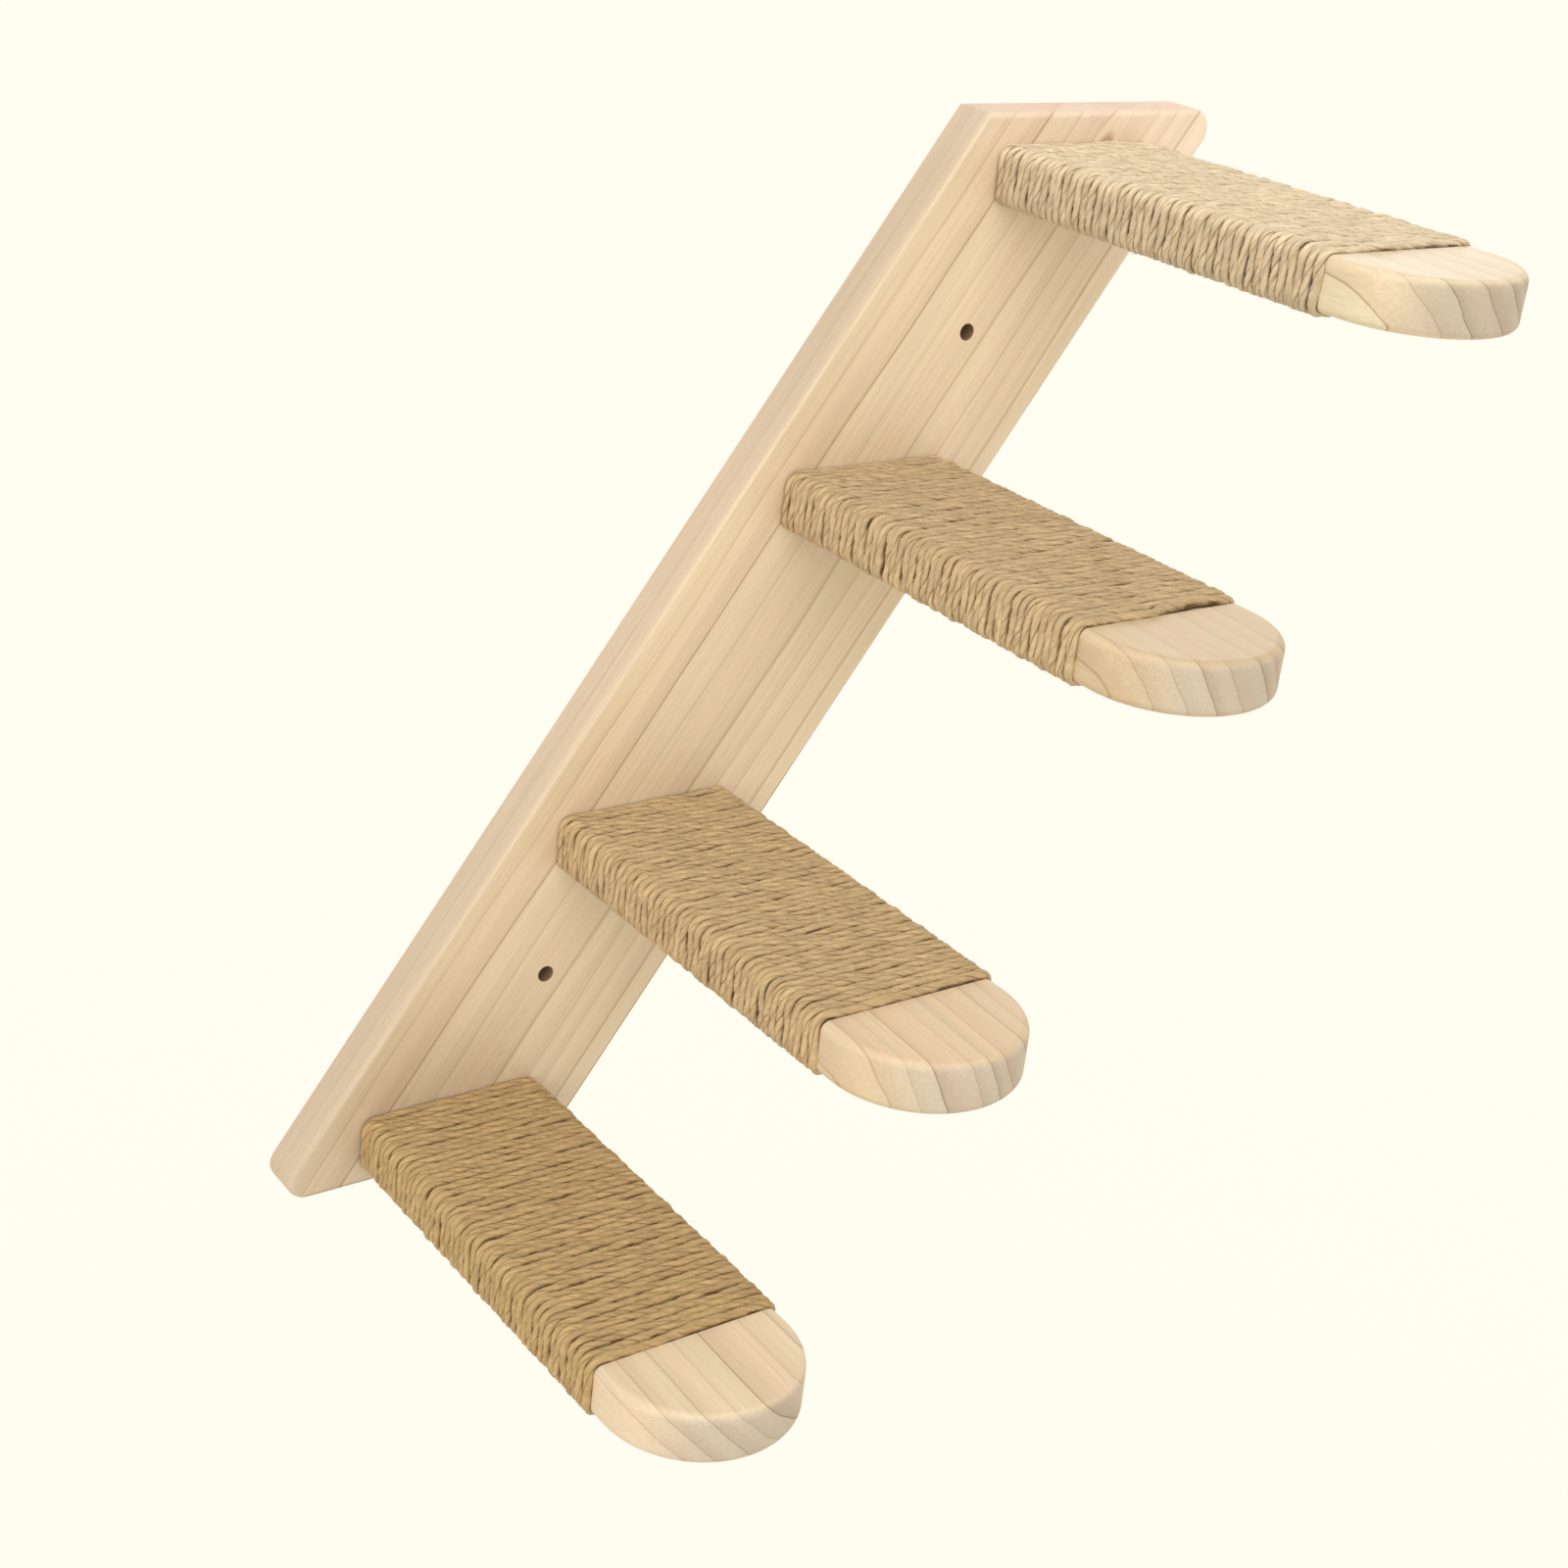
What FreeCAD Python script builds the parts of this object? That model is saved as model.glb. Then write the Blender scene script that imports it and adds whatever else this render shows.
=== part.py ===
import FreeCAD, Part
import enum
import math
import os
import re

import Sketcher

# A set of climbing steps for a cat: four level treads on a slanted board that is screwed to a wall.
# +X runs along the wall, +Y into the wall, +Z up. The origin is the middle of the board's wall face.

document = FreeCAD.newDocument("climbing_steps")

# Driving dimensions, in millimetres and degrees
SIZES = {
    "board_length": 600,
    "board_width": 124,
    "board_thickness": 21,
    "slant": 55.1,
    "sharp_corner_radius": 10,
    "blunt_corner_radius": 2,
    "board_edge_round": 3,
    "wall_hole_diameter": 8,
    "lowest_tread_height": 22.5,
    "second_tread_rise": 137.5,
    "third_tread_rise": 156,
    "top_tread_drop": 28.5,
    "tread_width": 90,
    "tread_thickness": 24,
    "wound_length": 205,
    "nose_straight": 9,
    "nose_edge_round": 4,
    "waist_corner_round": 2,
    "cord_width": 7.8,
    "cord_crown_width": 4.8,
    "cord_height": 4.6,
    "cord_proud": 2.5,
    "cord_spacing": 0.7,
    "cord_end_length": 8.5,
    "cord_fit": 0.3,
    "screw_diameter": 4.5,
    "screw_length": 60,
    "screw_head_diameter": 9,
    "screw_sink": 0.5,
    "screw_tip_length": 6,
    "screw_offset": 10,
    "recess_length": 4.4,
    "recess_width": 0.9,
    "recess_depth": 1.6,
    "dowel_diameter": 6,
    "dowel_length": 30,
    "dowel_in_board": 12,
    "dowel_offset": 24,
    "staple_crown_length": 4,
    "staple_leg_length": 11,
    "staple_wire_width": 1.2,
    "staple_wire_thickness": 0.7,
    "hole_clearance": 0.1,
    "seat_clearance": 0.2,
    "end_clearance": 0.3,
    "drill_overrun": 1,
}

# Sizes that follow from the driving ones
DERIVED = {
    "board_rise": "board_length * sin(slant)",
    "rope_half_width": "tread_width / 2 + cord_proud",
    "rope_half_height": "tread_thickness / 2 + cord_proud",
    "waist_width": "2 * (rope_half_width - cord_height - cord_fit)",
    "waist_thickness": "2 * (rope_half_height - cord_height - cord_fit)",
    "bend_radius": "waist_corner_round + cord_fit + cord_height / 2",
    "cord_run": "rope_half_width - cord_height / 2 - bend_radius",
    "first_turn": "cord_fit + cord_width / 2",
    "turn_steps": "floor((wound_length - 2 * first_turn) / (cord_width + cord_spacing))",
    "turn_pitch": "(wound_length - 2 * first_turn) / turn_steps",
    "screw_hole_radius": "screw_diameter / 2 + hole_clearance",
    "screw_head_height": "(screw_head_diameter - screw_diameter) / 2",
    "screw_in_tread": "screw_sink + screw_length - board_thickness",
    "sink_radius": "screw_head_diameter / 2 + screw_sink + seat_clearance",
    "dowel_hole_radius": "dowel_diameter / 2 + hole_clearance",
    "dowel_in_tread": "dowel_length - dowel_in_board",
    "staple_offset": "cord_run - cord_end_length / 2",
    "staple_seat": "rope_half_height + seat_clearance",
    "staple_leg_offset": "(staple_crown_length - staple_wire_thickness) / 2",
    "slot_width": "staple_wire_width + 2 * hole_clearance",
    "slot_thickness": "staple_wire_thickness + 2 * hole_clearance",
    "slot_height": "staple_leg_length + end_clearance",
    "tread_1_z": "lowest_tread_height - board_rise / 2",
    "tread_2_z": "tread_1_z + second_tread_rise",
    "tread_3_z": "tread_2_z + third_tread_rise",
    "tread_4_z": "board_rise / 2 - top_tread_drop",
}
TREADS = ("1", "2", "3", "4")
for number in TREADS:
    DERIVED[f"tread_{number}_x"] = f"tread_{number}_z / tan(slant)"

# The wall screws go halfway between the two lower treads and between the two upper ones
WALL_HOLES = {"lower": ("1", "2"), "upper": ("3", "4")}
for name, (below, above) in WALL_HOLES.items():
    DERIVED[f"{name}_hole_z"] = f"(tread_{below}_z + tread_{above}_z) / 2"
    DERIVED[f"{name}_hole_x"] = f"{name}_hole_z / tan(slant)"

sizes = document.addObject("Spreadsheet::Sheet", "sizes")
for row, (name, value) in enumerate(SIZES.items(), start=1):
    sizes.set(f"A{row}", name)
    sizes.set(f"B{row}", str(value))
    sizes.setAlias(f"B{row}", name)
for row, (name, formula) in enumerate(DERIVED.items(), start=1):
    sizes.set(f"C{row}", name)
    sizes.set(f"D{row}", "=" + formula)
    sizes.setAlias(f"D{row}", name)
document.recompute()


def size(name):
    """Value of a named cell of the sheet."""
    return float(getattr(sizes, name))


def sheet_formula(formula):
    """A formula with each name of the sheet written as a reference to it."""
    def reference(match):
        word = match.group()
        return f"sizes.{word}" if word in SIZES or word in DERIVED else word

    return re.sub(r"[a-z]\w*", reference, formula)


def bind(thing, **formulas):
    """Binds properties to formulas; a double underscore in a name stands for a point."""
    for path, formula in formulas.items():
        thing.setExpression(path.replace("__", "."), sheet_formula(formula))


# Screws and dowels come in pairs, left and right of a tread's middle
SIDES = {"left": "-", "right": "+"}

# Outward turns a piece's own +Z to -Y, away from the wall; upward leaves it along +Z
OUTWARD = FreeCAD.Rotation(FreeCAD.Vector(1, 0, 0), 90)
UPWARD = FreeCAD.Rotation()


def place(thing, turn, at):
    """Sets the direction of a piece and binds its place."""
    thing.Placement = FreeCAD.Placement(FreeCAD.Vector(), turn)
    bind(thing, Placement__Base__x=at[0], Placement__Base__y=at[1], Placement__Base__z=at[2])


def cylinder(name, turn, at, radius, length):
    """Round bar or drill from a base point along its direction."""
    bar = document.addObject("Part::Cylinder", name)
    bind(bar, Radius=radius, Height=length)
    place(bar, turn, at)
    return bar


def cone(name, turn, at, near_radius, far_radius, length):
    """Tapered bar or countersink from a base point along its direction."""
    taper = document.addObject("Part::Cone", name)
    bind(taper, Radius1=near_radius, Radius2=far_radius, Height=length)
    place(taper, turn, at)
    return taper


def box(name, at, length, width, height):
    """Block from its lowest corner."""
    block = document.addObject("Part::Box", name)
    bind(block, Length=length, Width=width, Height=height)
    place(block, UPWARD, at)
    return block


def fuse(name, pieces):
    """One solid of several touching pieces, or one tool of several drills."""
    whole = document.addObject("Part::MultiFuse", name)
    whole.Shapes = pieces
    whole.Refine = True
    return whole


def cut(name, base, tool):
    """The base with the tool taken away."""
    rest = document.addObject("Part::Cut", name)
    rest.Base = base
    rest.Tool = tool
    return rest


def group(name, pieces):
    """Like pieces kept as separate solids under one name."""
    together = document.addObject("Part::Compound", name)
    together.Links = pieces
    return together


# Sketching

class Spot(enum.IntEnum):
    """A sketch's own numbers for a line's two ends, and for its origin and its upright axis."""
    START = 1
    END = 2
    ORIGIN = -1
    UPRIGHT_AXIS = -2


START, END, ORIGIN, UPRIGHT_AXIS = Spot
NEAR = 1e-4


def near(first, second):
    """Whether two lengths are the same."""
    return abs(first - second) < NEAR


def sketch_on(body, plane, name):
    """Empty sketch on one of the body's own origin planes."""
    sketch = body.newObject("Sketcher::SketchObject", name)
    support = [feature for feature in body.Origin.OriginFeatures if feature.Role == plane][0]
    sketch.AttachmentSupport = (support, [""])
    sketch.MapMode = "FlatFace"
    return sketch


def join(sketch, kind, pairs):
    """Ties the end of one line or arc to the start of another, by kind of joint."""
    for first, second in pairs:
        sketch.addConstraint(Sketcher.Constraint(kind, first, END, second, START))


def drive(sketch, name, formula, *constraint):
    """Adds a named measure to a sketch and binds it to its formula."""
    index = sketch.addConstraint(Sketcher.Constraint(*constraint))
    sketch.renameConstraint(index, name)
    sketch.setExpression(f"Constraints.{name}", sheet_formula(formula))


def pad(body, name, sketch, length, side_type="One side"):
    """Thickness given to a sketched outline."""
    thick = body.newObject("PartDesign::Pad", name)
    thick.Profile = sketch
    thick.SideType = side_type
    bind(thick, Length=length)
    document.recompute()
    return thick


def fillet(body, name, base, radius, wanted):
    """Rounds those edges of a body's last feature whose bounding box is the wanted one."""
    edges = enumerate(base.Shape.Edges, start=1)
    rounded = body.newObject("PartDesign::Fillet", name)
    rounded.Base = (base, [f"Edge{index}" for index, edge in edges if wanted(edge.BoundBox)])
    bind(rounded, Radius=radius)
    document.recompute()
    return rounded


# Back board: a solid plank cut as a parallelogram with level ends, its front edges rounded over

def board_blank():
    """The plank before drilling."""
    body = document.addObject("PartDesign::Body", "board_blank")
    sketch = sketch_on(body, "XZ_Plane", "board_outline")
    lean = math.radians(size("slant"))
    radius = size("sharp_corner_radius")
    half_rise = size("board_rise") / 2
    half_base = size("board_width") / math.sin(lean) / 2
    set_back = radius / math.tan(lean / 2)
    along = FreeCAD.Vector(math.cos(lean), math.sin(lean), 0)
    level = FreeCAD.Vector(1, 0, 0)
    low_left = FreeCAD.Vector(-half_rise / math.tan(lean) - half_base, -half_rise, 0)
    low_right = low_left + level * 2 * half_base
    foot, right_side, head, left_side, low_arc, high_arc = range(6)
    sketch.addGeometry(Part.LineSegment(low_left + level * set_back, low_right))
    sketch.addGeometry(Part.LineSegment(low_right, -low_left - along * set_back))
    sketch.addGeometry(Part.LineSegment(-low_left - level * set_back, -low_right))
    sketch.addGeometry(Part.LineSegment(-low_right, low_left + along * set_back))
    low_centre = low_left + FreeCAD.Vector(set_back, radius, 0)
    quarter = math.pi / 2
    for centre, turned in ((low_centre, 0), (-low_centre, math.pi)):
        ring = Part.Circle(centre, FreeCAD.Vector(0, 0, 1), radius)
        sketch.addGeometry(Part.ArcOfCircle(ring, turned + lean + quarter, turned + 3 * quarter))
    join(sketch, "Coincident", ((foot, right_side), (head, left_side)))
    join(sketch, "Tangent", ((right_side, high_arc), (high_arc, head)))
    join(sketch, "Tangent", ((left_side, low_arc), (low_arc, foot)))
    sketch.addConstraint(Sketcher.Constraint("Horizontal", foot))
    sketch.addConstraint(Sketcher.Constraint("Horizontal", head))
    sketch.addConstraint(Sketcher.Constraint("Parallel", right_side, left_side))
    sketch.addConstraint(Sketcher.Constraint("Symmetric", foot, END, head, END, ORIGIN, START))
    drive(sketch, "lean", "slant * 1 deg", "Angle", right_side, lean)
    drive(sketch, "rise", "board_rise", "DistanceY", foot, END, head, END, 2 * half_rise)
    drive(sketch, "width", "board_width", "Distance", foot, END, left_side, size("board_width"))
    drive(sketch, "low_round", "sharp_corner_radius", "Radius", low_arc, radius)
    drive(sketch, "high_round", "sharp_corner_radius", "Radius", high_arc, radius)
    plank = pad(body, "plank", sketch, "board_thickness")

    def at_blunt_corner(bounds):
        """Edges through the thickness at the low right and high left corners."""
        upright = near(bounds.XLength, 0) and near(bounds.ZLength, 0)
        return upright and near(abs(bounds.XMin), abs(low_right.x)) and near(abs(bounds.ZMin), half_rise)

    def on_front(bounds):
        """Edges round the front face."""
        return near(bounds.YMin, bounds.YMax) and near(bounds.YMin, -size("board_thickness"))

    eased = fillet(body, "blunt_corners", plank, "blunt_corner_radius", at_blunt_corner)
    fillet(body, "front_round", eased, "board_edge_round", on_front)
    return body


def board_drills():
    """Wall-screw holes, and for each tread its countersunk screw holes and blind dowel holes."""
    through = "board_thickness + 2 * drill_overrun"
    drills = []
    for name in WALL_HOLES:
        at = (f"{name}_hole_x", "drill_overrun", f"{name}_hole_z")
        drills.append(cylinder(f"{name}_wall_drill", OUTWARD, at, "wall_hole_diameter / 2", through))
    for number in TREADS:
        z = f"tread_{number}_z"
        for side, sign in SIDES.items():
            at = (f"tread_{number}_x {sign} screw_offset", "drill_overrun", z)
            name = f"screw_drill_{number}_{side}"
            drills.append(cylinder(name, OUTWARD, at, "screw_hole_radius", through))
            name = f"sink_drill_{number}_{side}"
            wide = "sink_radius + drill_overrun"
            drills.append(cone(name, OUTWARD, at, wide, "screw_hole_radius", f"{wide} - screw_hole_radius"))
            depth = "dowel_in_board + end_clearance"
            at = (f"tread_{number}_x {sign} dowel_offset", f"{depth} - board_thickness", z)
            name = f"board_dowel_drill_{number}_{side}"
            drills.append(cylinder(name, OUTWARD, at, "dowel_hole_radius", f"{depth} + drill_overrun"))
    return fuse("board_drills", drills)


# Treads: a plank thinned to a waist under the rope, whose nose keeps the full thickness and is round in plan

def tread_blank(number):
    """A tread before drilling, its root against the board's front."""
    body = document.addObject("PartDesign::Body", f"tread_{number}_blank")
    sketch = sketch_on(body, "XZ_Plane", f"waist_section_{number}")
    half_width = size("waist_width") / 2
    half_height = size("waist_thickness") / 2
    signs = ((-1, -1), (1, -1), (1, 1), (-1, 1))
    corners = [FreeCAD.Vector(x * half_width, z * half_height, 0) for x, z in signs]
    low, right, high, left = range(4)
    for first, second in zip(corners, corners[1:] + corners[:1]):
        sketch.addGeometry(Part.LineSegment(first, second))
    join(sketch, "Coincident", ((low, right), (right, high), (high, left), (left, low)))
    for line in (low, high):
        sketch.addConstraint(Sketcher.Constraint("Horizontal", line))
    for line in (left, right):
        sketch.addConstraint(Sketcher.Constraint("Vertical", line))
    sketch.addConstraint(Sketcher.Constraint("Symmetric", low, START, high, START, ORIGIN, START))
    drive(sketch, "width", "waist_width", "DistanceX", low, START, low, END, 2 * half_width)
    drive(sketch, "thickness", "waist_thickness", "DistanceY", right, START, right, END, 2 * half_height)
    waist = pad(body, f"waist_{number}", sketch, "wound_length")

    def along_waist(bounds):
        """The four long edges that the rope bends over."""
        return near(bounds.XLength, 0) and near(bounds.ZLength, 0)

    fillet(body, f"waist_round_{number}", waist, "waist_corner_round", along_waist)
    sketch = sketch_on(body, "XY_Plane", f"nose_outline_{number}")
    radius = size("tread_width") / 2
    straight_length = size("nose_straight")
    shoulder_y = -size("wound_length")
    shoulder_right = FreeCAD.Vector(radius, shoulder_y, 0)
    shoulder_left = FreeCAD.Vector(-radius, shoulder_y, 0)
    outward = FreeCAD.Vector(0, -straight_length, 0)
    shoulder, left_side, front, right_side = range(4)
    sketch.addGeometry(Part.LineSegment(shoulder_right, shoulder_left))
    sketch.addGeometry(Part.LineSegment(shoulder_left, shoulder_left + outward))
    ring = Part.Circle(FreeCAD.Vector(0, shoulder_y, 0) + outward, FreeCAD.Vector(0, 0, 1), radius)
    sketch.addGeometry(Part.ArcOfCircle(ring, math.pi, 2 * math.pi))
    sketch.addGeometry(Part.LineSegment(shoulder_right + outward, shoulder_right))
    join(sketch, "Coincident", ((shoulder, left_side), (right_side, shoulder)))
    join(sketch, "Tangent", ((left_side, front), (front, right_side)))
    sketch.addConstraint(Sketcher.Constraint("Vertical", left_side))
    sketch.addConstraint(Sketcher.Constraint("Vertical", right_side))
    sketch.addConstraint(Sketcher.Constraint("Symmetric", shoulder, START, shoulder, END, UPRIGHT_AXIS))
    drive(sketch, "width", "tread_width", "DistanceX", shoulder, END, shoulder, START, 2 * radius)
    drive(sketch, "reach", "wound_length", "DistanceY", shoulder, START, ORIGIN, START, -shoulder_y)
    side_ends = (right_side, START, right_side, END)
    drive(sketch, "straight", "nose_straight", "DistanceY", *side_ends, straight_length)
    nose = pad(body, f"nose_{number}", sketch, "tread_thickness", "Symmetric")
    half_nose = size("tread_thickness") / 2

    def round_nose(bounds):
        """The nose's upper and lower edges, apart from those on the shoulder."""
        level = near(bounds.ZLength, 0) and near(abs(bounds.ZMin), half_nose)
        return level and bounds.YMin < shoulder_y - NEAR

    fillet(body, f"nose_round_{number}", nose, "nose_edge_round", round_nose)
    place(body, UPWARD, (f"tread_{number}_x", "-board_thickness", f"tread_{number}_z"))
    return body


def staple_places(number):
    """Where the staples hold the rope's ends: on the left by the board, and on the right by the nose."""
    x = f"tread_{number}_x"
    by_board = (f"{x} - staple_offset", "-board_thickness - first_turn")
    by_nose = (f"{x} + staple_offset", "-board_thickness - wound_length + first_turn")
    return {"by_board": by_board, "by_nose": by_nose}


def staple_slots(number):
    """Slots for the staples' legs, up through the rope's ends and on into the tread's underside."""
    slots = []
    for end, (x, y) in staple_places(number).items():
        for side, sign in SIDES.items():
            low_y = f"{y} {sign} staple_leg_offset - slot_thickness / 2"
            at = (f"{x} - slot_width / 2", low_y, f"tread_{number}_z - staple_seat")
            name = f"staple_slot_{number}_{end}_{side}"
            slots.append(box(name, at, "slot_width", "slot_thickness", "slot_height"))
    return slots


def tread_drills(number):
    """Pilot holes for the screws and blind dowel holes, both in the root."""
    drills = []
    y = "drill_overrun - board_thickness"
    z = f"tread_{number}_z"
    for side, sign in SIDES.items():
        at = (f"tread_{number}_x {sign} screw_offset", y, z)
        name = f"pilot_drill_{number}_{side}"
        length = "drill_overrun + screw_in_tread + end_clearance"
        drills.append(cylinder(name, OUTWARD, at, "screw_hole_radius", length))
        at = (f"tread_{number}_x {sign} dowel_offset", y, z)
        name = f"root_dowel_drill_{number}_{side}"
        length = "drill_overrun + dowel_in_tread + end_clearance"
        drills.append(cylinder(name, OUTWARD, at, "dowel_hole_radius", length))
    return drills


# Fasteners

def screw(tag, x, z):
    """Countersunk wood screw with a cross recess, driven from the board's back."""
    radius = "screw_diameter / 2"
    top = "-screw_sink"
    neck = "-screw_sink - screw_head_height"
    point = "-screw_sink - screw_length"
    shank_length = "screw_length - screw_head_height - screw_tip_length"
    head = cone(f"head_{tag}", OUTWARD, (x, top, z), "screw_head_diameter / 2", radius, "screw_head_height")
    shank = cylinder(f"shank_{tag}", OUTWARD, (x, neck, z), radius, shank_length)
    tip = cone(f"tip_{tag}", OUTWARD, (x, f"{point} + screw_tip_length", z), radius, "0", "screw_tip_length")
    body = fuse(f"screw_body_{tag}", [head, shank, tip])
    y = "-screw_sink - recess_depth"
    depth = "recess_depth + drill_overrun"
    at = (f"{x} - recess_length / 2", y, f"{z} - recess_width / 2")
    level = box(f"level_slot_{tag}", at, "recess_length", depth, "recess_width")
    at = (f"{x} - recess_width / 2", y, f"{z} - recess_length / 2")
    upright = box(f"upright_slot_{tag}", at, "recess_width", depth, "recess_length")
    return cut(f"screw_{tag}", body, fuse(f"recess_{tag}", [level, upright]))


def dowel(tag, x, z):
    """Wooden dowel, partly in the board and partly in the tread's root."""
    at = (x, "dowel_in_board - board_thickness", z)
    return cylinder(f"dowel_{tag}", OUTWARD, at, "dowel_diameter / 2", "dowel_length")


def staple(tag, x, y, z):
    """Staple of flat wire across a rope end, its two legs driven upwards into the tread's underside."""
    side_x = f"{x} - staple_wire_width / 2"
    crown_at = (side_x, f"{y} - staple_crown_length / 2", f"{z} - staple_seat - staple_wire_thickness")
    crown_sizes = ("staple_wire_width", "staple_crown_length", "staple_wire_thickness")
    pieces = [box(f"staple_crown_{tag}", crown_at, *crown_sizes)]
    leg_sizes = ("staple_wire_width", "staple_wire_thickness", "staple_leg_length")
    for side, sign in SIDES.items():
        low_y = f"{y} {sign} staple_leg_offset - staple_wire_thickness / 2"
        leg_at = (side_x, low_y, f"{z} - staple_seat")
        pieces.append(box(f"staple_leg_{tag}_{side}", leg_at, *leg_sizes))
    return fuse(f"staple_{tag}", pieces)


# Rope: one cord wound side by side over the waist, square across the top and sides, each turn
# stepping on to the next by a gentle S on the underside, with a straight end at both staples

def quarter_bend(centre, first, second, radius):
    """Quarter arc about a centre, from one unit direction to another."""
    points = [centre + way * radius for way in (first, (first + second).normalize(), second)]
    return Part.Arc(*points).toShape()


def straight(first, second):
    """Straight run between two points."""
    return Part.LineSegment(first, second).toShape()


def step_over(first, pitch):
    """Two tangent arcs on the underside that carry the cord a pitch outward as it crosses to the left."""
    run = 2 * first.x
    middle = first + FreeCAD.Vector(-run / 2, -pitch / 2, 0)
    last = first + FreeCAD.Vector(-run, -pitch, 0)
    radius = (run * run / 4 + pitch * pitch / 4) / pitch
    half_angle = math.atan2(pitch, run)
    bulge = FreeCAD.Vector(-math.sin(half_angle), math.cos(half_angle) - 1, 0) * radius
    outward = Part.Arc(first, first + bulge, middle)
    back_square = Part.Arc(middle, last - bulge, last)
    return [outward.toShape(), back_square.toShape()]


def rope_turns():
    """The cord's centre line as one list of edges for each turn, in the tread's own place."""
    run = size("cord_run")
    bend = size("bend_radius")
    half_width = run + bend
    half_height = size("rope_half_height") - size("cord_height") / 2
    rise = half_height - bend
    pitch = size("turn_pitch")
    left, right = FreeCAD.Vector(-1, 0, 0), FreeCAD.Vector(1, 0, 0)
    up, down = FreeCAD.Vector(0, 0, 1), FreeCAD.Vector(0, 0, -1)
    end_length = size("cord_end_length")
    last_turn = int(size("turn_steps"))
    turns = []
    for turn in range(last_turn + 1):
        y = -size("first_turn") - turn * pitch

        def point(x, z):
            return FreeCAD.Vector(x, y, z)

        edges = []
        if turn == 0:
            edges.append(straight(point(end_length - run, -half_height), point(-run, -half_height)))
        edges.append(quarter_bend(point(-run, -rise), down, left, bend))
        edges.append(straight(point(-half_width, -rise), point(-half_width, rise)))
        edges.append(quarter_bend(point(-run, rise), left, up, bend))
        edges.append(straight(point(-run, half_height), point(run, half_height)))
        edges.append(quarter_bend(point(run, rise), up, right, bend))
        edges.append(straight(point(half_width, rise), point(half_width, -rise)))
        edges.append(quarter_bend(point(run, -rise), right, down, bend))
        if turn == last_turn:
            edges.append(straight(point(run, -half_height), point(run - end_length, -half_height)))
        else:
            edges.extend(step_over(point(run, -half_height), pitch))
        turns.append(edges)
    return turns


def least_gap(path, turn_count):
    """Least clear distance of the cord to itself, on evenly spaced points half a turn or more apart."""
    per_turn = 200
    points = path.discretize(Number=per_turn * turn_count)
    least = math.inf
    for index, first in enumerate(points):
        for second in points[index + per_turn // 2:index + 2 * per_turn]:
            least = min(least, first.distanceToPoint(second))
    return least - size("cord_width")


def wound_cord():
    """The wound cord as one solid: a flattened cord, wide on the wood and narrow at its crown."""
    turns = rope_turns()
    path = Part.Wire([edge for edges in turns for edge in edges])
    start = path.Edges[0].valueAt(path.Edges[0].FirstParameter)
    half_height = size("cord_height") / 2
    half_width = size("cord_width") / 2
    half_crown = size("cord_crown_width") / 2
    base = ((-half_width, half_height), (half_width, half_height))
    crown = ((half_crown, -half_height), (-half_crown, -half_height))
    corners = [start + FreeCAD.Vector(0, y, z) for y, z in base + crown]
    section = Part.makePolygon(corners + corners[:1])
    cord = path.makePipeShell([section], True, False)
    filled = cord.Volume / (Part.Face(section).Area * path.Length)
    print(f"rope: {len(turns)} turns, length {path.Length:.0f} mm, pitch {size('turn_pitch'):.2f} mm")
    print(f"rope: least gap to itself {least_gap(path, len(turns)):.2f} mm")
    print(f"rope: volume over section times length {filled:.4f}")
    return cord.Solids[0]


# Assembly

nodes = [cut("back_board", board_blank(), board_drills())]
cord = wound_cord()
for number in TREADS:
    x = f"tread_{number}_x"
    z = f"tread_{number}_z"
    slots = staple_slots(number)
    drills = fuse(f"tread_{number}_drills", tread_drills(number) + slots)
    nodes.append(cut(f"tread_{number}", tread_blank(number), drills))
    wound = document.addObject("Part::Feature", f"wound_cord_{number}")
    wound.Shape = cord
    place(wound, UPWARD, (x, "-board_thickness", z))
    nodes.append(cut(f"tread_{number}_rope", wound, fuse(f"rope_{number}_slots", slots)))
    screws = [screw(f"{number}_{side}", f"{x} {sign} screw_offset", z) for side, sign in SIDES.items()]
    nodes.append(group(f"tread_{number}_screws", screws))
    dowels = [dowel(f"{number}_{side}", f"{x} {sign} dowel_offset", z) for side, sign in SIDES.items()]
    nodes.append(group(f"tread_{number}_dowels", dowels))
    staples = [staple(f"{number}_{end}", *at, z) for end, at in staple_places(number).items()]
    nodes.append(group(f"tread_{number}_rope_staples", staples))
document.recompute()

for thing in document.Objects:
    if "Invalid" in thing.State or "Error" in thing.State:
        raise RuntimeError(f"{thing.Label} did not build: {thing.State}")
for node in nodes:
    if node.Shape.isNull() or not node.Shape.isValid():
        raise RuntimeError(f"{node.Label} has no valid shape")
os.makedirs("parts", exist_ok=True)
for node in nodes:
    node.Shape.exportStep(f"parts/{node.Label}.step")
    print(f"{node.Label}: {len(node.Shape.Solids)} solids, {node.Shape.Volume / 1000:.1f} cm3")
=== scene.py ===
import math

import bpy
import numpy as np
from mathutils import Euler, Matrix, Vector


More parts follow.
